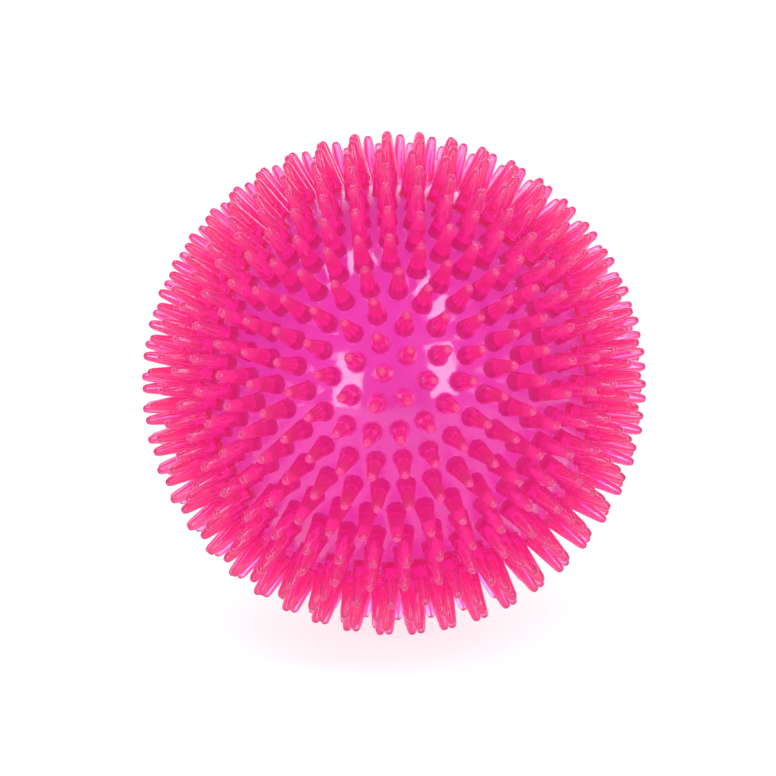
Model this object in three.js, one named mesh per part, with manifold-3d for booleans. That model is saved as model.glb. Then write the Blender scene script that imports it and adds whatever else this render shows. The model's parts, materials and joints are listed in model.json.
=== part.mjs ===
// Dog dental ball: a hollow ball of soft translucent rubber, moulded as two spiked half shells that meet at
// the equator with a lip in a rebate, and a squeaker plugged into the rear pole.
// Millimetres, +Z up, origin at the ball's centre. The front pole looks along -Y and a little up.

import * as THREE from 'three';
import { ConvexHull } from 'three/addons/math/ConvexHull.js';
import { mergeVertices } from 'three/addons/utils/BufferGeometryUtils.js';
import Module from 'manifold-3d';

const wasm = await Module();
wasm.setup();

const degree = THREE.MathUtils.DEG2RAD;

// Fits
const fitGap = 0.3; // left between two pieces that seat on each other
const crownLand = 0.5; // skin left between the root of the spike on the pole and those round it
const seamLand = 0.1; // skin left between the last ring of spike roots and the rim

// Ball
const ballRadius = 50; // from the centre to the spike tips
const spikeLength = 9.5; // from the skin to the tip
const wall = 3; // skin between the spikes
const poleLift = 20 * degree; // how far the front pole looks up from level

// Spikes
const spikeRootDiameter = 4;
const spikeTipDiameter = 1.4; // flat end, inside the round end of the soft spike
const spikeSides = 4; // flat sides that stand in for the round section
const ringCounts = [1, 6, 13, 20, 26, 32, 35, 39, 41, 44, 47, 48]; // spikes in each ring, pole to seam
const staggerRing = 6; // from this ring on, every second ring is set half a step round
const frontStart = 158.5 * degree; // where the front half's rings begin, seen from the front
const rearStart = 21.5 * degree; // where the rear half's rings begin

// Seam at the equator
const lipHeight = 2.5; // lip of the rear half, inside the front half's rebate
const lipThickness = 1.3;

// Squeaker
const flangeDiameter = 16;
const flangeThickness = 1.6;
const barrelDiameter = 12;
const barrelLength = 12; // from under the flange to the inner end
const barrelWall = 1.2;
const beadHeight = 0.8; // ring round the barrel that holds it behind the collar
const beadLength = 1.6;
const airHoleDiameter = 3;
const collarLength = 7; // rubber collar round the barrel
const collarWall = 2.2;

// Reed
const plugLength = 3; // disc that closes the barrel
const armLength = 6.6; // half-round arm under the reed
const troughDiameter = 3.6;
const troughEnd = 0.8; // closed end of the trough
const reedThickness = 0.4;
const reedWidth = 6.4;
const reedReach = 3.2; // free length past the clamp
const wedgeLength = 3; // clamp on the reed's tail

// Facets
const shellSegments = 40;
const shellRows = 7; // bands on the inside of each half
const smallSegments = 24;

// Radii and levels that follow from the sizes above
const skinRadius = ballRadius - spikeLength;
const innerRadius = skinRadius - wall;
const rootSpread = Math.asin(cornerReach(spikeRootDiameter) / skinRadius);
const lastRing = Math.PI / 2 - rootSpread - (seamLand + fitGap / 2) / skinRadius;
const firstRing = 2 * rootSpread + crownLand / skinRadius;
const ringPitch = (lastRing - firstRing) / (ringCounts.length - 2);
const ringAngles = ringCounts.map((_, ring) => (ring === 0 ? 0 : firstRing + (ring - 1) * ringPitch));
const seatRadius = flangeDiameter / 2 + fitGap;
const barrelRadius = barrelDiameter / 2;
const boreRadius = barrelRadius - barrelWall;
const portRadius = barrelRadius + fitGap;
const collarRadius = portRadius + collarWall;
const carrierRadius = boreRadius - fitGap;
const faceLevel = -Math.sqrt(skinRadius ** 2 - seatRadius ** 2); // flange face, flush with the skin round it
const flangeLevel = faceLevel + flangeThickness; // underside of the flange
const seatLevel = flangeLevel + fitGap;
const collarLevel = seatLevel + collarLength; // inner end of the collar
const barrelLevel = flangeLevel + barrelLength; // inner end of the barrel
const plugLevel = barrelLevel - plugLength; // outer face of the plug
const armLevel = plugLevel - armLength; // outer end of the arm
const clampLevel = plugLevel - fitGap - wedgeLength; // edge of the clamp, where the reed bends
const reedBed = reedThickness / 2 + fitGap; // from the reed's middle to the faces that hold it

const rubber = new THREE.MeshStandardMaterial({ color: 0xec2f8e, roughness: 0.25, metalness: 0 });
const whitePlastic = new THREE.MeshStandardMaterial({ color: 0xf1efe9, roughness: 0.45, metalness: 0 });
const clearFilm = new THREE.MeshStandardMaterial({ color: 0xdfe6ea, roughness: 0.15, metalness: 0 });

// A closed geometry as a solid that can be joined and cut
function solidFrom(geometry) {
  geometry.deleteAttribute('normal');
  geometry.deleteAttribute('uv');
  const welded = mergeVertices(geometry);
  const corners = welded.index.array;
  const triangles = [];
  for (let i = 0; i < corners.length; i += 3) {
    const [a, b, c] = corners.subarray(i, i + 3);
    if (a !== b && b !== c && c !== a) triangles.push(a, b, c);
  }
  const vertProperties = welded.attributes.position.array;
  const triVerts = new Uint32Array(triangles);
  return new wasm.Manifold(new wasm.Mesh({ numProp: 3, vertProperties, triVerts }));
}

// A solid turned about Z from [radius, level] pairs that run upwards, starting and ending on the axis
function turned(profile, segments) {
  const points = profile.map(([radius, level]) => new THREE.Vector2(radius, level));
  return solidFrom(new THREE.LatheGeometry(points, segments).rotateX(Math.PI / 2));
}

// A cylinder along Z between two levels, its axis shifted along Y
function rod(radius, low, high, shift = 0) {
  const cylinder = new THREE.CylinderGeometry(radius, radius, high - low, smallSegments);
  return solidFrom(cylinder.rotateX(Math.PI / 2).translate(0, shift, (low + high) / 2));
}

// A block between two corners
function block(low, high) {
  const box = new THREE.Box3(new THREE.Vector3(...low), new THREE.Vector3(...high));
  const size = box.getSize(new THREE.Vector3());
  const middle = box.getCenter(new THREE.Vector3());
  return solidFrom(new THREE.BoxGeometry(...size).translate(...middle));
}

// A named mesh of a finished solid
function piece(name, solid, material) {
  const { vertProperties, triVerts } = solid.getMesh();
  const geometry = new THREE.BufferGeometry();
  geometry.setAttribute('position', new THREE.BufferAttribute(vertProperties, 3));
  geometry.setIndex(new THREE.BufferAttribute(triVerts, 1));
  geometry.computeVertexNormals();
  const mesh = new THREE.Mesh(geometry, material);
  mesh.name = name;
  return mesh;
}

// Directions of the spikes of one half; side is 1 towards the front pole and -1 towards the rear pole
function spikeDirections(side, firstRing, start) {
  const directions = [];
  for (let ring = firstRing; ring < ringCounts.length; ring += 1) {
    const staggered = ring >= staggerRing && ring % 2 === 0;
    const step = (2 * Math.PI) / ringCounts[ring];
    for (let i = 0; i < ringCounts[ring]; i += 1) {
      const around = start + (i + (staggered ? 0.5 : 0)) * step;
      const direction = new THREE.Vector3().setFromSphericalCoords(1, ringAngles[ring], around);
      directions.push(new THREE.Vector3(direction.z, direction.x, side * direction.y));
    }
  }
  return directions;
}

// From a spike's axis to the corners of its flat-sided section, which has the area of the round one
function cornerReach(diameter) {
  const sector = (2 * Math.PI) / spikeSides;
  return (diameter / 2) * Math.sqrt(sector / Math.sin(sector));
}

// Corners of a spike's section on a sphere round the ball's centre, anticlockwise from outside. The middle
// of a side faces along the ring.
function spikeCorners(direction, radius, diameter) {
  const axis = new THREE.Vector3(0, 0, 1);
  const onPole = Math.abs(direction.z) === 1;
  const east = onPole ? new THREE.Vector3(1, 0, 0) : axis.cross(direction).normalize();
  const north = new THREE.Vector3().crossVectors(direction, east);
  const spread = Math.asin(cornerReach(diameter) / radius);
  return Array.from({ length: spikeSides }, (_, i) => {
    const turn = ((i + 0.5) * 2 * Math.PI) / spikeSides;
    const corner = direction.clone().multiplyScalar(radius * Math.cos(spread));
    corner.addScaledVector(east, radius * Math.sin(spread) * Math.cos(turn));
    return corner.addScaledVector(north, radius * Math.sin(spread) * Math.sin(turn));
  });
}

// A dome closed by a flat face at the seam. Its skin is the hull of the spike roots and the rim, and each
// root in that hull is opened into a spike.
function spikedDome(side, directions) {
  const rimLevel = (side * fitGap) / 2;
  const rimRadius = Math.sqrt(skinRadius ** 2 - rimLevel ** 2);
  const rim = Array.from({ length: shellSegments }, (_, i) => {
    const around = (2 * Math.PI * i) / shellSegments;
    return new THREE.Vector3(rimRadius * Math.cos(around), rimRadius * Math.sin(around), rimLevel);
  });
  const roots = directions.map((direction) => spikeCorners(direction, skinRadius, spikeRootDiameter));
  const tips = directions.map((direction) => spikeCorners(direction, ballRadius, spikeTipDiameter));
  const points = [...roots.flat(), ...tips.flat(), ...rim];
  const numbers = new Map(points.map((point, i) => [point, i]));
  const owners = new Map(roots.flatMap((root, i) => root.map((point) => [point, i])));
  const triangles = [];
  const addTriangle = (...corners) => triangles.push(...corners.map((point) => numbers.get(point)));
  for (const face of new ConvexHull().setFromPoints([...roots.flat(), ...rim]).faces) {
    const corners = [face.edge.prev, face.edge, face.edge.next].map((edge) => edge.head().point);
    const spikes = corners.map((point) => owners.get(point));
    const insideRoot = spikes[0] !== undefined && spikes[0] === spikes[1] && spikes[1] === spikes[2];
    if (!insideRoot) addTriangle(...corners);
  }
  roots.forEach((root, i) => {
    const tip = tips[i];
    root.forEach((corner, j) => {
      const next = (j + 1) % spikeSides;
      addTriangle(corner, root[next], tip[next]);
      addTriangle(corner, tip[next], tip[j]);
      if (j > 1) addTriangle(tip[0], tip[j - 1], tip[j]);
    });
  });
  const vertProperties = new Float32Array(points.flatMap((point) => point.toArray()));
  const triVerts = new Uint32Array(triangles);
  return new wasm.Manifold(new wasm.Mesh({ numProp: 3, vertProperties, triVerts }));
}

// Inside of the ball as [radius, level] pairs, upwards between two levels
function innerArc(low, high) {
  const from = Math.asin(low / innerRadius);
  const to = Math.asin(high / innerRadius);
  return Array.from({ length: shellRows + 1 }, (_, i) => {
    const angle = from + ((to - from) * i) / shellRows;
    return [innerRadius * Math.cos(angle), innerRadius * Math.sin(angle)];
  });
}

// Front half: all rings, and a rebate inside the rim for the other half's lip
function frontShell(directions) {
  const rebateRadius = innerRadius + lipThickness + fitGap;
  const rebateLevel = lipHeight + fitGap / 2;
  const arc = innerArc(rebateLevel, innerRadius);
  const hollow = [[0, -fitGap], [rebateRadius, -fitGap], [rebateRadius, rebateLevel], ...arc];
  return spikedDome(1, directions).subtract(turned(hollow, shellSegments));
}

// Rear half: a lip on the rim and, in place of the spikes at the pole, a port with a collar inside
function rearShell(directions) {
  const arcEnd = -Math.sqrt(innerRadius ** 2 - collarRadius ** 2);
  const arc = innerArc(arcEnd, -fitGap / 2);
  const hollow = [[0, collarLevel], [collarRadius, collarLevel], ...arc,
    [innerRadius, fitGap], [0, fitGap]];
  const port = [[0, -ballRadius], [seatRadius, -ballRadius], [seatRadius, seatLevel],
    [portRadius, seatLevel], [portRadius, collarLevel + fitGap], [0, collarLevel + fitGap]];
  const lipTop = lipHeight - fitGap / 2;
  const lipRadius = innerRadius + lipThickness;
  const lip = turned([[0, -fitGap], [lipRadius, -fitGap], [lipRadius, lipTop], [0, lipTop]], shellSegments);
  const lipBore = [[0, -2 * fitGap], [innerRadius, -2 * fitGap], [innerRadius, lipHeight], [0, lipHeight]];
  return spikedDome(-1, directions)
    .subtract(turned(hollow, shellSegments))
    .add(lip.subtract(turned(lipBore, shellSegments)))
    .subtract(turned(port, shellSegments));
}

// Squeaker: flange with an air hole, and a barrel whose bead snaps behind the collar
function squeakerHousing() {
  const holeRadius = airHoleDiameter / 2;
  const beadStart = collarLevel + fitGap;
  const body = turned([[0, faceLevel], [flangeDiameter / 2, faceLevel], [flangeDiameter / 2, flangeLevel],
    [barrelRadius, flangeLevel], [barrelRadius, beadStart], [barrelRadius + beadHeight, beadStart],
    [barrelRadius, beadStart + beadLength], [barrelRadius, barrelLevel], [0, barrelLevel]], smallSegments);
  return body
    .subtract(rod(boreRadius, flangeLevel, barrelLevel + fitGap))
    .subtract(rod(holeRadius, faceLevel - fitGap, flangeLevel + fitGap));
}

// Half of a rod: the part beyond the reed's bed on one side, 1 above the reed and -1 below it
function halfRod(radius, low, high, side) {
  const edges = [side * reedBed, side * 2 * radius];
  const corner = [-2 * radius, Math.min(...edges), low - fitGap];
  const opposite = [2 * radius, Math.max(...edges), high + fitGap];
  return rod(radius, low, high).intersect(block(corner, opposite));
}

// Reed carrier: the plug, its half-round arm, and the trough that leads the air under the reed and out
function reedCarrier() {
  return rod(carrierRadius, plugLevel, barrelLevel)
    .add(halfRod(carrierRadius, armLevel, plugLevel + fitGap, -1))
    .subtract(rod(troughDiameter / 2, armLevel + troughEnd, barrelLevel + fitGap, -reedBed));
}

function reedStrip() {
  const half = reedWidth / 2;
  const tailEnd = plugLevel - fitGap;
  return block([-half, -reedThickness / 2, clampLevel - reedReach], [half, reedThickness / 2, tailEnd]);
}

const frontDirections = spikeDirections(1, 0, frontStart);
const seatSpread = Math.asin(seatRadius / skinRadius) + rootSpread;
const rearFirst = ringAngles.findIndex((angle) => angle > seatSpread);
const rearDirections = spikeDirections(-1, rearFirst, rearStart);

const ball = new THREE.Group();
ball.add(
  piece('front_shell', frontShell(frontDirections), rubber),
  piece('rear_shell', rearShell(rearDirections), rubber),
  piece('squeaker_housing', squeakerHousing(), whitePlastic),
  piece('reed_carrier', reedCarrier(), whitePlastic),
  piece('reed_wedge', halfRod(carrierRadius, clampLevel, plugLevel - fitGap, 1), whitePlastic),
  piece('reed', reedStrip(), clearFilm),
);

// The ball lies with its front pole towards -Y, lifted, and settles on the three tips under its centre
ball.rotation.x = Math.PI / 2 - poleLift;
const down = new THREE.Vector3(0, 0, -1);
const facets = new ConvexHull().setFromPoints([...frontDirections, ...rearDirections]).faces;
const normals = facets.map((facet) => facet.normal.clone().applyQuaternion(ball.quaternion));
const lowest = normals.reduce((best, normal) => (normal.dot(down) > best.dot(down) ? normal : best));
ball.quaternion.premultiply(new THREE.Quaternion().setFromUnitVectors(lowest, down));

const part = new THREE.Group();
part.add(ball);

export default part;
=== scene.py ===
# %% [markdown]
# # A spiky dental ball for dogs
# The real ball is a hollow shell of dyed, see-through rubber, moulded as two halves. Some seven hundred
# tapered spikes stand in rings around its two poles, and a small squeaker is plugged into the rear pole.
# This lesson dresses the imported solids of the ball: it welds round spikes to a fine skin, gives the rubber
# a colour that deepens with thickness, partly from an absorbing dye and partly as painted light and a painted
# glow, and lights the ball as a product on a white table.

# %% Load the imported ball
import json
import math

import bmesh
import bpy
from mathutils import Matrix, Vector
from mathutils.geometry import delaunay_2d_cdt


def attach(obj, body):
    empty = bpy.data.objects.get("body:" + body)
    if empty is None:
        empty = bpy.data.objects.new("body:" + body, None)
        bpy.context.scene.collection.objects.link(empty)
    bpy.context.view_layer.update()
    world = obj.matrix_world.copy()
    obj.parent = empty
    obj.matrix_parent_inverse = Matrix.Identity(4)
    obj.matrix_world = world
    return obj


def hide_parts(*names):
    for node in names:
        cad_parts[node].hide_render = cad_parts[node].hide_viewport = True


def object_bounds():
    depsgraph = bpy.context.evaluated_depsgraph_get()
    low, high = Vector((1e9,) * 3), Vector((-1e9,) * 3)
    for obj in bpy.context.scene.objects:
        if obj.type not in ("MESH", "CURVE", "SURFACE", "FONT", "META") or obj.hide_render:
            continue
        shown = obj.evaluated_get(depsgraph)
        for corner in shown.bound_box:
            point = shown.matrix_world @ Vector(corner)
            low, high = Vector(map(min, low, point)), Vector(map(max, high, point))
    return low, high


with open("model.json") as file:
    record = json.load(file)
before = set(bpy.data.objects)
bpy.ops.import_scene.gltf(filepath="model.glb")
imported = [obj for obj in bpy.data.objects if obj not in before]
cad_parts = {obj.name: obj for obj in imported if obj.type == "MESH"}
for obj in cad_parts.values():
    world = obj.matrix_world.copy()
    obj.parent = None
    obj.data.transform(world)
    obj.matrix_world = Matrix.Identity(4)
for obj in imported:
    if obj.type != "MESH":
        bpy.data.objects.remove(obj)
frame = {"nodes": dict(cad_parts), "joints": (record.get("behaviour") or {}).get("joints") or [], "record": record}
cad_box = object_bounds()
print("nodes:", sorted(frame["nodes"]))

# %% [markdown]
# ## The ball's own axes
# The ball lies turned in the frame, so it is easier to build it upright and turn it at the end. The axis of
# the squeaker's flat face points out of the rear pole, and the reed's hinge lies along the ball's own X.
# Those two directions give the whole turn, with no angle typed in by hand.

# %% Turn from the ball's own axes to the frame
mounts = {mount["name"]: mount for mount in frame["record"]["mounts"]}
pole = -Vector(mounts["squeaker_face"]["axis"]).normalized()
up = pole.cross(Vector(frame["joints"][0]["axis"])).normalized()
ball_turn = Matrix((up.cross(pole), up, pole)).transposed().to_4x4()
print("front pole looks along", [round(c, 3) for c in pole])

# %% [markdown]
# ## The camera
# The photograph looks at the front half from a little above its middle, with a long lens. The spike on the
# pole shows just above and left of the ball's centre, so the camera stands a little right of the pole and
# lower than it. The lens follows from the ball's radius in the picture, and the shift from its centre.

# %% Camera
MM = 0.001
BALL_RADIUS = 50 * MM
CAMERA_AZIMUTH = math.radians(4.3)
CAMERA_ELEVATION = math.radians(12.3)
CAMERA_DISTANCE = 800 * MM
IMAGE_SIZE = 776
BALL_RADIUS_PX = 253
BALL_CENTRE_PX = Vector((394.1, 383.1))

camera_data = bpy.data.cameras.new("camera")
camera = bpy.data.objects.new("camera", camera_data)
bpy.context.scene.collection.objects.link(camera)
bpy.context.scene.camera = camera
towards = Vector((
    math.cos(CAMERA_ELEVATION) * math.sin(CAMERA_AZIMUTH),
    -math.cos(CAMERA_ELEVATION) * math.cos(CAMERA_AZIMUTH),
    math.sin(CAMERA_ELEVATION),
))
camera.location = CAMERA_DISTANCE * towards
camera.rotation_euler = towards.to_track_quat("Z", "Y").to_euler()
seen_radius = BALL_RADIUS / math.sqrt(CAMERA_DISTANCE**2 - BALL_RADIUS**2)
camera_data.lens = camera_data.sensor_width * BALL_RADIUS_PX / seen_radius / IMAGE_SIZE
off_centre = (BALL_CENTRE_PX - Vector((IMAGE_SIZE, IMAGE_SIZE)) / 2) / IMAGE_SIZE
camera_data.shift_x = -off_centre.x
camera_data.shift_y = off_centre.y
print(f"lens {camera_data.lens:.0f} mm")

# %% [markdown]
# ## Where the spikes stand
# The spikes stand in rings around the pole, evenly spaced from the first ring to the one beside the seam.
# Each ring has its own count, so neighbouring rings drift in and out of step, as on the real ball, and
# every second one of the outer rings is set half a step round. The rear half has no spikes where the
# squeaker sits. In the solids a root is a square as large as the round one, and its corners reach further,
# so the first and the last ring are placed by those corners.

# %% Spike feet
SPIKE_LENGTH = 9.5 * MM
SKIN_RADIUS = BALL_RADIUS - SPIKE_LENGTH
ROOT_RADIUS = 2.0 * MM
FIT_GAP = 0.3 * MM
CROWN_LAND = 0.5 * MM
SEAM_LAND = 0.1 * MM
RING_COUNTS = (1, 6, 13, 20, 26, 32, 35, 39, 41, 44, 47, 48)
STAGGER_RING = 6
FRONT_START = math.radians(158.5)
REAR_START = math.radians(21.5)
REAR_FIRST_RING = 2

corner_reach = ROOT_RADIUS * math.sqrt(math.pi / 2)
root_spread = math.asin(corner_reach / SKIN_RADIUS)
first_lean = 2 * root_spread + CROWN_LAND / SKIN_RADIUS
last_lean = math.pi / 2 - root_spread - (SEAM_LAND + FIT_GAP / 2) / SKIN_RADIUS
ring_pitch = (last_lean - first_lean) / (len(RING_COUNTS) - 2)


def spike_feet(half, first_ring, start):
    """Points on the skin of one half; half is 1 for the front and -1 for the rear."""
    feet = []
    for ring in range(first_ring, len(RING_COUNTS)):
        lean = first_lean + (ring - 1) * ring_pitch if ring else 0
        shift = 0.5 if ring >= STAGGER_RING and ring % 2 == 0 else 0
        for i in range(RING_COUNTS[ring]):
            around = start + (i + shift) * math.tau / RING_COUNTS[ring]
            flat = Vector((math.cos(around), math.sin(around), 0)) * math.sin(lean)
            feet.append(SKIN_RADIUS * (flat + Vector((0, 0, half * math.cos(lean)))))
    return feet


front_feet = spike_feet(1, 0, FRONT_START)
rear_feet = spike_feet(-1, REAR_FIRST_RING, REAR_START)
print(len(front_feet), "spikes in front,", len(rear_feet), "behind")

# %% [markdown]
# ## Turning a profile
# A mould for such a ball is turned on a lathe, and so are most of its pieces here: a profile of radius and
# level pairs goes round the axis. A pair on the axis becomes a single point, so that the pole is closed.

# %% Helpers for meshes
def mesh_object(name, points, faces=()):
    """A new object with a mesh of these points, linked to the scene."""
    mesh = bpy.data.meshes.new(name)
    mesh.from_pydata([tuple(point) for point in points], [], faces)
    made = bpy.data.objects.new(name, mesh)
    bpy.context.scene.collection.objects.link(made)
    return made


def ring_points(radius, level, count):
    """Points round the axis at one level, or one point where the radius is nought."""
    turns = [math.tau * i / count for i in range(count if radius else 1)]
    return [Vector((radius * math.cos(turn), radius * math.sin(turn), level)) for turn in turns]


def revolve(profile, count):
    """Points and faces of a profile of (radius, level) pairs turned about Z."""
    points, rows = [], []
    for radius, level in profile:
        ring = ring_points(radius, level, count)
        rows.append([len(points) + i % len(ring) for i in range(count)])
        points.extend(ring)
    faces = []
    for low, high in zip(rows, rows[1:]):
        for i in range(count):
            j = (i + 1) % count
            faces.append(list(dict.fromkeys((low[i], low[j], high[j], high[i]))))
    return points, faces


def arc(radius, start, end, steps):
    """Pairs on a circle about the centre, by angle from level towards the front pole."""
    angles = [start + (end - start) * i / steps for i in range(steps + 1)]
    return [(radius * math.cos(angle), radius * math.sin(angle)) for angle in angles]


# %% [markdown]
# ## One spike
# A moulded spike is a straight taper with a small fillet at its root and a round end. It is turned from a
# short profile and left open at the bottom, where it will be welded to the skin. Ten sides are enough,
# because the shape is repeated hundreds of times. An attribute called along runs from 0 at the root to 1 at
# the tip. The node tree uses it to bend each spike a little, and the rubber to paint its light along the
# spike: a hotter pink above the root, paler towards the tip, with a painted glow that fades there.

# %% Spike form
SPIKE_SIDES = 10
TIP_RADIUS = 0.95 * MM
FILLET = 0.25 * MM
ROUND_END_ANGLES = (0, math.radians(50))

foot_radius = ROOT_RADIUS + FILLET
foot_level = math.sqrt(SKIN_RADIUS**2 - foot_radius**2) - SKIN_RADIUS
shoulder = SPIKE_LENGTH - TIP_RADIUS
slant = (ROOT_RADIUS - TIP_RADIUS) / shoulder
round_end = [
    (TIP_RADIUS * math.cos(angle), shoulder + TIP_RADIUS * math.sin(angle)) for angle in ROUND_END_ANGLES
]
fillet_middle = FILLET / 4
fillet_top = FILLET * 1.5
spike_profile = [
    (foot_radius, foot_level),
    (ROOT_RADIUS + fillet_middle, fillet_middle),
    (ROOT_RADIUS - slant * fillet_top, fillet_top),
    (ROOT_RADIUS - slant * shoulder / 2, shoulder / 2),
    *round_end,
    (0, SPIKE_LENGTH),
]
spike_form = mesh_object("spike_form", *revolve(spike_profile, SPIKE_SIDES))
along = spike_form.data.attributes.new("along", "FLOAT", "POINT")
for vertex, share in zip(spike_form.data.vertices, along.data):
    share.value = max(0, vertex.co.z / SPIKE_LENGTH)
print("one spike has", len(spike_form.data.polygons), "faces")

# %% [markdown]
# ## The skin between the spikes
# The skin is a part of a sphere with a hole for each spike. A sphere seen from the far pole flattens
# without changing circles into anything else, so the holes can be laid out in the plane, filled between by
# a Delaunay triangulation that keeps their edges, and lifted back. That gives a clean sheet whose holes fit
# the spikes.

# %% Skin sheets
ALL_TRIANGLES = 0
SAME_POINT = 1e-9


def foot_turn(foot):
    """Turn that stands a spike up along its own direction."""
    return foot.to_track_quat("Z", "Y")


def skin_sheet(feet, half, rim, port):
    """Points and triangles of the skin of one half, open at the spikes, the rim and the port."""
    circle = ring_points(foot_radius, foot_level, SPIKE_SIDES)
    holes = [[foot + foot_turn(foot) @ point for point in circle] for foot in feet]
    if port:
        holes.append(port)
    points, loops = [], []
    for hole in holes:
        loops.append(list(range(len(points), len(points) + len(hole)))[::half])
        points.extend(hole)
    rim_edges = [(len(points) + i, len(points) + (i + 1) % len(rim)) for i in range(len(rim))]
    points.extend(rim)
    flat = [point.xy / (point.length + half * point.z) for point in points]
    _, _, faces, sources, _, owners = delaunay_2d_cdt(flat, rim_edges, loops, ALL_TRIANGLES, SAME_POINT)
    kept = [face for face, owner in zip(faces, owners) if not owner]
    return points, [[sources[i][0] for i in face] for face in kept]


# %% [markdown]
# ## The inside of each half
# The wall is three millimetres thick. The front half has a rebate inside its rim, and the rear half a lip
# that sits in it. The rear half also has a port at its pole, with a collar that grips the squeaker. Each
# inside is one turned profile that starts on the rim and ends at the pole or at the mouth of the port.

# %% Profiles of the insides
WALL = 3 * MM
INNER_RADIUS = SKIN_RADIUS - WALL
SEAM_GAP = 0.1 * MM
LIP_HEIGHT = 2.5 * MM
LIP_THICKNESS = 1.3 * MM
FLANGE_RADIUS = 8 * MM
FLANGE_THICKNESS = 1.6 * MM
BARREL_RADIUS = 6 * MM
COLLAR_LENGTH = 7 * MM
COLLAR_WALL = 2.2 * MM
RIM_SEGMENTS = 120
INSIDE_STEPS = 28

rim_level = SEAM_GAP / 2
rim_radius = math.sqrt(SKIN_RADIUS**2 - rim_level**2)
rebate_level = LIP_HEIGHT + FIT_GAP / 2
seat_radius = FLANGE_RADIUS + FIT_GAP
port_radius = BARREL_RADIUS + FIT_GAP
collar_radius = port_radius + COLLAR_WALL
face_level = -math.sqrt(SKIN_RADIUS**2 - seat_radius**2)
seat_level = face_level + FLANGE_THICKNESS + FIT_GAP
collar_level = seat_level + COLLAR_LENGTH
rebate_radius = INNER_RADIUS + LIP_THICKNESS + FIT_GAP
lip_radius = INNER_RADIUS + LIP_THICKNESS
front_inside = [
    (rim_radius, rim_level),
    (rebate_radius, rim_level),
    (rebate_radius, rebate_level),
    *arc(INNER_RADIUS, math.asin(rebate_level / INNER_RADIUS), math.pi / 2, INSIDE_STEPS)[:-1],
    (0, INNER_RADIUS),
]
rear_inside = [
    (rim_radius, -rim_level),
    (lip_radius, -rim_level),
    (lip_radius, LIP_HEIGHT - FIT_GAP / 2),
    (INNER_RADIUS, LIP_HEIGHT - FIT_GAP / 2),
    *arc(INNER_RADIUS, 0, -math.acos(collar_radius / INNER_RADIUS), INSIDE_STEPS),
    (collar_radius, collar_level),
    (port_radius, collar_level),
    (port_radius, seat_level),
    (seat_radius, seat_level),
    (seat_radius, face_level),
]
print(f"wall {WALL / MM} mm, port {2 * port_radius / MM:.1f} mm across")

# %% [markdown]
# ## Nodes
# One small function adds a node to any tree, sets its properties, and fills its inputs with values or with
# links from other nodes. Colours are given as they are read off a screen, and one function turns them into
# the linear values that the renderer works with.

# %% Helpers for nodes
def add(tree, kind, inputs=None, **settings):
    """Add a node to a tree with its settings; an input is a value, a link, or a list of links."""
    made = tree.nodes.new(kind)
    for name, value in settings.items():
        setattr(made, name, value)
    for name, value in (inputs or {}).items():
        for item in value if isinstance(value, list) else [value]:
            if isinstance(item, bpy.types.NodeSocket):
                tree.links.new(item, made.inputs[name])
            else:
                made.inputs[name].default_value = item
    return made


def linear(code):
    """Linear colour of an sRGB hex code."""
    shares = [int(code[i:i + 2], 16) / 255 for i in (1, 3, 5)]
    return (*[((s + 0.055) / 1.055) ** 2.4 if s > 0.04045 else s / 12.92 for s in shares], 1)


def new_material(name):
    """A material with an empty tree, and its output node."""
    material = bpy.data.materials.new(name)
    material.use_nodes = True
    material.node_tree.nodes.clear()
    return material, add(material.node_tree, "ShaderNodeOutputMaterial")


# %% [markdown]
# ## The rubber
# Thermoplastic rubber is clear by itself, and here it is dyed pink, so the colour comes from depth: a thin
# wall lets the light through as lilac, and a long spike turns it hot pink. An absorbing volume gives that
# depth. On top of that the base colour is painted light, though the dye is the same all through: painted
# shade makes the skin lilac, painted light makes the spikes a hotter pink, and the thin tips are painted
# paler, so that they look clear against a white ground. The dye is a fluorescent one, as in most bright pink
# toys: it takes in green light and gives it back as pink. A weak painted glow of its own, light that the
# rubber gives off under no lamp, makes it brighter than a plain dye could be. The painted glow fades
# towards the thin tips.
# The mould leaves the outside glossy and faintly rippled. Its core is left matt, so that the half comes off
# it, and the matt inside makes the wall look cloudy.

# %% Dyed thermoplastic rubber
RUBBER_IOR = 1.49
RUBBER_CLEARNESS = 0.95
GLOSSY_OUTSIDE = 0.08
MATT_INSIDE = 0.6
RIPPLE_WIDTH = 1.5 * MM
RIPPLE_HEIGHT = 0.1 * MM
RIPPLE_STRENGTH = 0.15
CLOUD_WIDTH = 12 * MM
CLOUD_LEAST = 0.9
CLOUD_MOST = 1.1
# Painted light and shade: one dye, painted lilac on the skin, hotter pink in the spikes and paler at the tips.
SKIN_PAINTED_SHADE_TINT = "#F0C8F8"
SPIKE_PAINTED_LIGHT_TINT = "#FFB0DC"
TIP_PAINTED_LIGHT_TINT = "#FFC8E6"
SPIKE_PAINTED_LIGHT_FULL = 0.12
TIP_PAINTED_LIGHT_START = 0.4
# Painted glow: the rubber gives off pink light of its own, stronger at the root than at the tip.
PAINTED_GLOW_COLOUR = "#FF30A0"
PAINTED_GLOW = 0.085
TIP_PAINTED_GLOW = 0.04
PAINTED_GLOW_FADE_START = 0.3
DYE_COLOUR = "#FD27EA"
DYE_PER_METRE = 380


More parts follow.
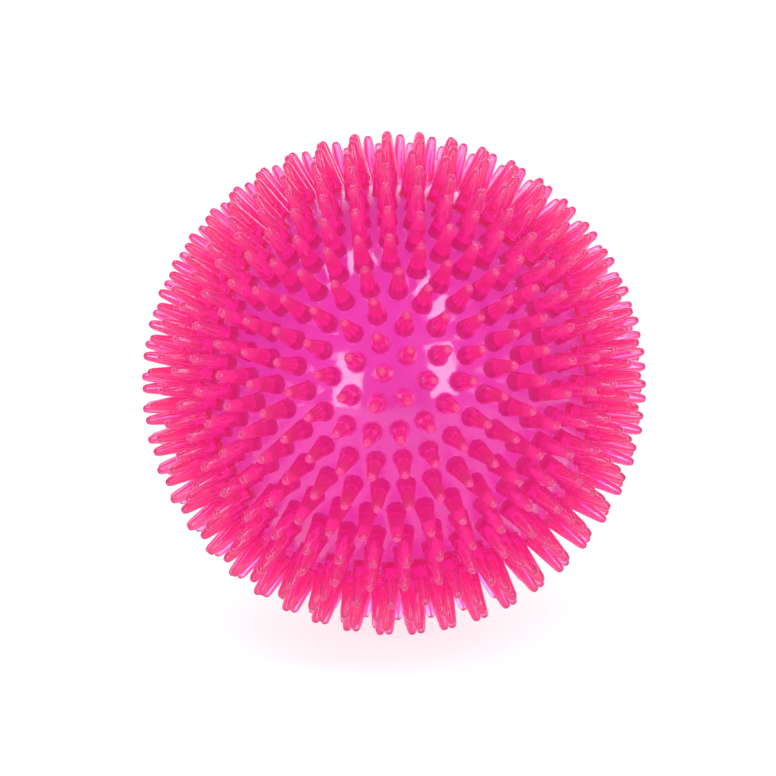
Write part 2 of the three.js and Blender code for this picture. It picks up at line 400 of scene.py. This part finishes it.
def make_rubber_with_painted_light():
    """Clear rubber with a fluorescent pink dye: glossy, with a painted glow and a tint of painted light; its
    colour deepens with thickness.
    """
    material, output = new_material("pink_rubber_with_painted_light")
    tree = material.node_tree
    place = add(tree, "ShaderNodeTexCoord").outputs["Object"]
    ripple = add(tree, "ShaderNodeTexNoise", {"Vector": place, "Scale": 1 / RIPPLE_WIDTH, "Detail": 2})
    bump = add(tree, "ShaderNodeBump", {
        "Height": ripple.outputs["Fac"], "Strength": RIPPLE_STRENGTH, "Distance": RIPPLE_HEIGHT,
    })
    from_centre = add(tree, "ShaderNodeVectorMath", {0: place}, operation="LENGTH").outputs["Value"]
    polish = add(tree, "ShaderNodeMapRange", {
        "Value": from_centre,
        "From Min": INNER_RADIUS,
        "From Max": SKIN_RADIUS,
        "To Min": MATT_INSIDE,
        "To Max": GLOSSY_OUTSIDE,
    })
    # The base colour carries painted light: lilac painted shade on the skin, hotter pink along the spike, paler
    # tips.
    along_spike = add(tree, "ShaderNodeAttribute", {}, attribute_name="along").outputs["Fac"]
    painted_spike_mask = add(tree, "ShaderNodeMapRange", {"Value": along_spike, "From Max": SPIKE_PAINTED_LIGHT_FULL})
    painted_root_tint = add(tree, "ShaderNodeMix", {
        "Factor": painted_spike_mask.outputs["Result"], 6: linear(SKIN_PAINTED_SHADE_TINT), 7: linear(SPIKE_PAINTED_LIGHT_TINT),
    }, data_type="RGBA")
    painted_tip_mask = add(tree, "ShaderNodeMapRange", {"Value": along_spike, "From Min": TIP_PAINTED_LIGHT_START})
    painted_light_tint = add(tree, "ShaderNodeMix", {
        "Factor": painted_tip_mask.outputs["Result"], 6: painted_root_tint.outputs[2], 7: linear(TIP_PAINTED_LIGHT_TINT),
    }, data_type="RGBA")
    cloud = add(tree, "ShaderNodeTexNoise", {"Vector": place, "Scale": 1 / CLOUD_WIDTH, "Detail": 3})
    cloudy = add(tree, "ShaderNodeMapRange", {
        "Value": cloud.outputs["Fac"], "To Min": CLOUD_LEAST, "To Max": CLOUD_MOST,
    })
    cloudy_painted_tint = add(tree, "ShaderNodeHueSaturation", {
        "Color": painted_light_tint.outputs[2], "Saturation": cloudy.outputs["Result"],
    })
    # Painted glow, from no lamp: light of the rubber's own that fades along the spike.
    painted_glow = add(tree, "ShaderNodeMapRange", {
        "Value": along_spike, "From Min": PAINTED_GLOW_FADE_START, "To Min": PAINTED_GLOW, "To Max": TIP_PAINTED_GLOW,
    })
    rubber = add(tree, "ShaderNodeBsdfPrincipled", {
        "Base Color": cloudy_painted_tint.outputs["Color"],
        "Roughness": polish.outputs["Result"],
        "IOR": RUBBER_IOR,
        "Transmission Weight": RUBBER_CLEARNESS,
        "Emission Color": linear(PAINTED_GLOW_COLOUR),
        "Emission Strength": painted_glow.outputs["Result"],
        "Normal": bump.outputs["Normal"],
    })
    dye = add(tree, "ShaderNodeVolumeAbsorption", {"Color": linear(DYE_COLOUR), "Density": DYE_PER_METRE})
    tree.links.new(rubber.outputs["BSDF"], output.inputs["Surface"])
    tree.links.new(dye.outputs["Volume"], output.inputs["Volume"])
    return material


rubber_with_painted_light = make_rubber_with_painted_light()
print("material", rubber_with_painted_light.name)

# %% [markdown]
# ## A tree that grows the spikes
# Hundreds of spikes that follow one rule are a job for Geometry Nodes. The tree stands a spike on every
# foot, sways each one by a small random amount, joins them to the skin and welds the edges. The feet are
# plain vertices that carry their turn as an attribute, so a spike's root meets its hole point by point.

# %% Geometry Nodes: spiked shell
BEND_POWER = 2.0


def spiked_shell_tree():
    """Stands spikes on feet, bends them a little, welds them to the skin and gives them their material."""
    tree = bpy.data.node_groups.new("Spiked shell", "GeometryNodeTree")
    kinds = {
        "Feet": "Geometry",
        "Spike": "Object",
        "Skin": "Object",
        "Sway": "Float",
        "Weld": "Float",
        "Sharp angle": "Float",
        "Seed": "Int",
        "Rubber": "Material",
    }
    for name, kind in kinds.items():
        tree.interface.new_socket(name, in_out="INPUT", socket_type="NodeSocket" + kind)
    tree.interface.new_socket("Shell", in_out="OUTPUT", socket_type="NodeSocketGeometry")
    given = add(tree, "NodeGroupInput").outputs
    chance = add(tree, "FunctionNodeRandomValue", {
        0: (-1, -1, -1), 1: (1, 1, 1), "Seed": given["Seed"],
    }, data_type="FLOAT_VECTOR")
    place = add(tree, "GeometryNodeInputPosition")
    radial = add(tree, "ShaderNodeVectorMath", {0: place.outputs[0]}, operation="NORMALIZE")
    sideways = add(tree, "ShaderNodeVectorMath", {
        0: chance.outputs[0], 1: radial.outputs[0],
    }, operation="CROSS_PRODUCT")
    sway = add(tree, "ShaderNodeVectorMath", {
        0: sideways.outputs[0], "Scale": given["Sway"],
    }, operation="SCALE")
    feet = add(tree, "GeometryNodeStoreNamedAttribute", {
        "Geometry": given["Feet"], "Name": "sway", "Value": sway.outputs[0],
    }, data_type="FLOAT_VECTOR")
    turn = add(tree, "GeometryNodeInputNamedAttribute", {"Name": "turn"}, data_type="QUATERNION")
    spike = add(tree, "GeometryNodeObjectInfo", {"Object": given["Spike"]})
    stood = add(tree, "GeometryNodeInstanceOnPoints", {
        "Points": feet.outputs[0],
        "Instance": spike.outputs["Geometry"],
        "Rotation": turn.outputs["Attribute"],
    })
    spikes = add(tree, "GeometryNodeRealizeInstances", {"Geometry": stood.outputs[0]})
    share = add(tree, "GeometryNodeInputNamedAttribute", {"Name": "along"}, data_type="FLOAT")
    bend = add(tree, "ShaderNodeMath", {0: share.outputs["Attribute"], 1: BEND_POWER}, operation="POWER")
    lean = add(tree, "GeometryNodeInputNamedAttribute", {"Name": "sway"}, data_type="FLOAT_VECTOR")
    offset = add(tree, "ShaderNodeVectorMath", {
        0: lean.outputs["Attribute"], "Scale": bend.outputs[0],
    }, operation="SCALE")
    bent = add(tree, "GeometryNodeSetPosition", {
        "Geometry": spikes.outputs[0], "Offset": offset.outputs[0],
    })
    skin = add(tree, "GeometryNodeObjectInfo", {"Object": given["Skin"]})
    joined = add(tree, "GeometryNodeJoinGeometry", {
        "Geometry": [bent.outputs[0], skin.outputs["Geometry"]],
    })
    welded = add(tree, "GeometryNodeMergeByDistance", {
        "Geometry": joined.outputs[0], "Distance": given["Weld"],
    })
    soft = add(tree, "GeometryNodeSetShadeSmooth", {"Geometry": welded.outputs[0], "Shade Smooth": True})
    angle = add(tree, "GeometryNodeInputMeshEdgeAngle")
    corner = add(tree, "FunctionNodeCompare", {
        0: angle.outputs["Unsigned Angle"], 1: given["Sharp angle"],
    }, data_type="FLOAT", operation="GREATER_THAN")
    shaded = add(tree, "GeometryNodeSetShadeSmooth", {
        "Geometry": soft.outputs[0], "Selection": corner.outputs[0], "Shade Smooth": False,
    }, domain="EDGE")
    finished = add(tree, "GeometryNodeSetMaterial", {
        "Geometry": shaded.outputs[0], "Material": given["Rubber"],
    })
    add(tree, "NodeGroupOutput", {"Shell": finished.outputs[0]})
    return tree


shell_tree = spiked_shell_tree()
print("tree with", len(shell_tree.nodes), "nodes")

# %% [markdown]
# ## Growing the two halves
# The tree runs as a modifier on the feet of each half. Its result is taken off as a plain mesh, its faces
# are turned outwards all together, and the mesh is turned into the frame, so that the object itself stays
# unturned. At last the skin gets a sphere's own normals, because a reflection shows every uneven triangle.

# %% Front and rear shells
SWAY = 0.12 * MM
WELD = 0.01 * MM
SHARP_ANGLE = math.radians(50)
FACING_OUT = 0.5


def place_in_frame(mesh):
    """Turn all faces outwards and lay the mesh in the frame; returns the number of open edges."""
    shape = bmesh.new()
    shape.from_mesh(mesh)
    bmesh.ops.recalc_face_normals(shape, faces=shape.faces)
    shape.transform(ball_turn)
    shape.to_mesh(mesh)
    open_edges = sum(not edge.is_manifold for edge in shape.edges)
    shape.free()
    return open_edges


def shade_as_sphere(mesh):
    """Give the skin a sphere's own normals, so that its uneven triangles don't show in the gloss."""
    normals = [normal.vector.copy() for normal in mesh.corner_normals]
    for corner, loop in enumerate(mesh.loops):
        point = mesh.vertices[loop.vertex_index].co
        outwards = point.normalized()
        if abs(point.length - SKIN_RADIUS) < WELD and normals[corner].dot(outwards) > FACING_OUT:
            normals[corner] = outwards
    mesh.normals_split_custom_set(normals)


def grown_shell(name, feet, half, inside, port, seed):
    """One half of the ball: skin, inside and spikes in one closed mesh."""
    rim = ring_points(rim_radius, half * rim_level, RIM_SEGMENTS)
    skin_points, skin_faces = skin_sheet(feet, half, rim, port)
    inside_points, inside_faces = revolve(inside, RIM_SEGMENTS)
    first = len(skin_points)
    inside_faces = [[first + i for i in face] for face in inside_faces]
    skin = mesh_object("skin_form", skin_points + inside_points, skin_faces + inside_faces)
    base = mesh_object(name, feet)
    turns = base.data.attributes.new("turn", "QUATERNION", "POINT")
    for foot, turn in zip(feet, turns.data):
        turn.value = foot_turn(foot)
    modifier = base.modifiers.new("spikes", "NODES")
    modifier.node_group = shell_tree
    values = {
        "Spike": spike_form,
        "Skin": skin,
        "Sway": SWAY,
        "Weld": WELD,
        "Sharp angle": SHARP_ANGLE,
        "Seed": seed,
        "Rubber": rubber_with_painted_light,
    }
    for socket in shell_tree.interface.items_tree:
        if socket.name in values:
            modifier[socket.identifier] = values[socket.name]
    evaluated = base.evaluated_get(bpy.context.evaluated_depsgraph_get())
    mesh = bpy.data.meshes.new_from_object(evaluated)
    base.modifiers.clear()
    base.data = mesh
    bpy.data.objects.remove(skin)
    print(name, len(mesh.polygons), "faces, open edges:", place_in_frame(mesh))
    shade_as_sphere(mesh)
    return base


# The mouth runs round as seen from outside, as the roots of the rear spikes do.
port_mouth = ring_points(seat_radius, face_level, RIM_SEGMENTS)[::-1]
front_shell = grown_shell("front_shell_skin", front_feet, 1, front_inside, [], 1)
rear_shell = grown_shell("rear_shell_skin", rear_feet, -1, rear_inside, port_mouth, 2)
bpy.data.objects.remove(spike_form)

for shell, node_name in ((front_shell, "front_shell"), (rear_shell, "rear_shell")):
    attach(shell, "ball")
    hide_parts(node_name)

# %% [markdown]
# ## The squeaker
# The squeaker is a small plug of white polyethylene. Its flange lies flush with the skin, a bead on its
# barrel snaps behind the rubber collar, and a hole in the flange lets the air through. It is turned from
# one closed profile, and a Bevel modifier breaks its edges as a mould would. The three small pieces inside
# it keep the shape of their solids and only get their finish.

# %% Squeaker plug
BARREL_LENGTH = 12 * MM
BARREL_WALL = 1.2 * MM
BEAD_HEIGHT = 0.8 * MM
BEAD_LENGTH = 1.6 * MM
AIR_HOLE_RADIUS = 1.5 * MM
EDGE_BREAK = 0.25 * MM
EDGE_STEPS = 3
PLUG_SEGMENTS = 64
PLASTIC_IOR = 1.51
FLOW_WIDTH = 3 * MM
GRIT_WIDTH = 0.2 * MM
GRIT_HEIGHT = 0.02 * MM
GRIT_STRENGTH = 0.2

flange_level = face_level + FLANGE_THICKNESS
barrel_level = flange_level + BARREL_LENGTH
bead_start = collar_level + FIT_GAP
bore_radius = BARREL_RADIUS - BARREL_WALL
plug_profile = [
    (AIR_HOLE_RADIUS, flange_level),
    (AIR_HOLE_RADIUS, face_level),
    (FLANGE_RADIUS, face_level),
    (FLANGE_RADIUS, flange_level),
    (BARREL_RADIUS, flange_level),
    (BARREL_RADIUS, bead_start),
    (BARREL_RADIUS + BEAD_HEIGHT, bead_start),
    (BARREL_RADIUS, bead_start + BEAD_LENGTH),
    (BARREL_RADIUS, barrel_level),
    (bore_radius, barrel_level),
    (bore_radius, flange_level),
    (AIR_HOLE_RADIUS, flange_level),
]


def moulded_plastic(name, colour, roughness, transmission):
    """Moulded plastic: even colour with faint flow marks, satin from the mould's fine texture."""
    material, output = new_material(name)
    tree = material.node_tree
    place = add(tree, "ShaderNodeTexCoord").outputs["Object"]
    flow = add(tree, "ShaderNodeTexNoise", {"Vector": place, "Scale": 1 / FLOW_WIDTH, "Detail": 4})
    shade = add(tree, "ShaderNodeMix", {
        "Factor": flow.outputs["Fac"], 6: linear(colour), 7: linear("#FFFFFF"),
    }, data_type="RGBA")
    grit = add(tree, "ShaderNodeTexNoise", {"Vector": place, "Scale": 1 / GRIT_WIDTH, "Detail": 2})
    bump = add(tree, "ShaderNodeBump", {
        "Height": grit.outputs["Fac"], "Strength": GRIT_STRENGTH, "Distance": GRIT_HEIGHT,
    })
    plastic = add(tree, "ShaderNodeBsdfPrincipled", {
        "Base Color": shade.outputs[2],
        "Roughness": roughness,
        "IOR": PLASTIC_IOR,
        "Transmission Weight": transmission,
        "Normal": bump.outputs["Normal"],
    })
    tree.links.new(plastic.outputs["BSDF"], output.inputs["Surface"])
    return material


plug_finish = moulded_plastic("white_polyethylene", "#E9E6DE", roughness=0.42, transmission=0.0)
film_finish = moulded_plastic("clear_polyester_film", "#DDE6EA", roughness=0.12, transmission=0.6)
plug = mesh_object("squeaker_plug", *revolve(plug_profile, PLUG_SEGMENTS))
plug_shape = bmesh.new()
plug_shape.from_mesh(plug.data)
bmesh.ops.remove_doubles(plug_shape, verts=plug_shape.verts, dist=WELD)
plug_shape.to_mesh(plug.data)
plug_shape.free()
print("squeaker plug, open edges:", place_in_frame(plug.data))
edge_break = plug.modifiers.new("edge break", "BEVEL")
edge_break.width = EDGE_BREAK
edge_break.segments = EDGE_STEPS
edge_break.limit_method = "ANGLE"
plug.data.materials.append(plug_finish)
plug.data.shade_smooth()
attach(plug, "ball")
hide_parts("squeaker_housing")

inner_finishes = {"reed_carrier": plug_finish, "reed_wedge": plug_finish, "reed": film_finish}
for node_name, finish in inner_finishes.items():
    for material_slot in frame["nodes"][node_name].material_slots:
        material_slot.material = finish

# %% [markdown]
# ## Table and light
# The photograph is a product picture on white, so the ball lies on a large white sheet before a white
# backdrop. Clear things are lit from behind: the backdrop shines through the rubber, and the studio in
# front is darker, which gives the spikes their outlines. Four soft boxes on the camera's side give the pale
# patches on the skin. The sheet is lit from within like a light table, so that the shadow stays pale.

# %% Table, sky and lamps
TABLE_SIZE = 6.0
TABLE_GLOW = 0.74
PAPER_ROUGHNESS = 0.9
MOTTLE_WIDTH = 40 * MM
STUDIO_DARK = 0.35
STUDIO_WHITE = 2.4
BACKDROP_SEEN = 1.0
DARK_BEYOND = math.radians(66)
WHITE_WITHIN = math.radians(32)
LAMP_DISTANCE = 0.9
LAMP_WIDTH = 0.24
LAMP_LENGTH = 0.45
LAMP_RADIANCE = 8
LAMP_PLACES = {
    "left": (-0.42, 0.03, 0.91),
    "right": (0.44, 0.12, 0.89),
    "upper left": (-0.38, 0.88, 0.28),
    "upper right": (0.32, 0.73, 0.61),
}
CLEAR_BOUNCES = 48
OTHER_BOUNCES = 16


def white_sheet():
    """Thin seamless paper on a light table: matt, with a faint mottle, and lit from within."""
    material, output = new_material("white_seamless_paper")
    tree = material.node_tree
    place = add(tree, "ShaderNodeTexCoord").outputs["Object"]
    mottle = add(tree, "ShaderNodeTexNoise", {"Vector": place, "Scale": 1 / MOTTLE_WIDTH, "Detail": 3})
    shade = add(tree, "ShaderNodeMix", {
        "Factor": mottle.outputs["Fac"], 6: linear("#A8A8A8"), 7: linear("#ACACAC"),
    }, data_type="RGBA")
    paper = add(tree, "ShaderNodeBsdfPrincipled", {
        "Base Color": shade.outputs[2],
        "Roughness": PAPER_ROUGHNESS,
        "Emission Color": linear("#FFFFFF"),
        "Emission Strength": TABLE_GLOW,
    })
    tree.links.new(paper.outputs["BSDF"], output.inputs["Surface"])
    return material


half_table = TABLE_SIZE / 2
table_level = cad_box[0][2]
table_corners = [
    (half_table * x, half_table * y, table_level) for x, y in ((-1, -1), (1, -1), (1, 1), (-1, 1))
]
table = mesh_object("table", table_corners, [(0, 1, 2, 3)])
table.data.materials.append(white_sheet())

world = bpy.data.worlds.new("studio")
world.use_nodes = True
sky = world.node_tree
sky.nodes.clear()
direction = add(sky, "ShaderNodeTexCoord").outputs["Generated"]
backwards = add(sky, "ShaderNodeVectorMath", {0: direction, 1: -towards}, operation="DOT_PRODUCT")
brightness = add(sky, "ShaderNodeMapRange", {
    "Value": backwards.outputs["Value"],
    "From Min": math.cos(DARK_BEYOND),
    "From Max": math.cos(WHITE_WITHIN),
    "To Min": STUDIO_DARK,
    "To Max": STUDIO_WHITE,
}, interpolation_type="SMOOTHSTEP")
seen = add(sky, "ShaderNodeLightPath").outputs["Is Camera Ray"]
strength = add(sky, "ShaderNodeMix", {"Factor": seen, 2: brightness.outputs["Result"], 3: BACKDROP_SEEN})
studio = add(sky, "ShaderNodeBackground", {"Strength": strength.outputs[0]})
add(sky, "ShaderNodeOutputWorld", {"Surface": studio.outputs["Background"]})
bpy.context.scene.world = world

camera_up = camera.rotation_euler.to_matrix().col[1]
camera_right = camera.rotation_euler.to_matrix().col[0]


def soft_box(name, side, height, front):
    """A soft light that looks at the ball, placed by its direction from the ball as the camera sees it."""
    data = bpy.data.lights.new(name, "AREA")
    data.shape = "RECTANGLE"
    data.size = LAMP_WIDTH
    data.size_y = LAMP_LENGTH
    data.energy = math.pi * LAMP_WIDTH * LAMP_LENGTH * LAMP_RADIANCE
    lamp = bpy.data.objects.new(name, data)
    bpy.context.scene.collection.objects.link(lamp)
    aim = (side * camera_right + height * camera_up + front * towards).normalized()
    lamp.location = LAMP_DISTANCE * aim
    lamp.rotation_euler = aim.to_track_quat("Z", "Y").to_euler()
    # A lamp seen through the rubber would leave a bright spot at every root.
    lamp.visible_transmission = False


for lamp_name, lamp_place in LAMP_PLACES.items():
    soft_box(lamp_name, *lamp_place)

# Light crosses dozens of clear walls before it leaves the ball, so it may turn often.
bpy.context.scene.view_settings.view_transform = "Standard"
bpy.context.scene.cycles.max_bounces = CLEAR_BOUNCES
bpy.context.scene.cycles.transmission_bounces = CLEAR_BOUNCES
bpy.context.scene.cycles.diffuse_bounces = OTHER_BOUNCES
bpy.context.scene.cycles.glossy_bounces = OTHER_BOUNCES
print(len(LAMP_PLACES), "soft boxes set")
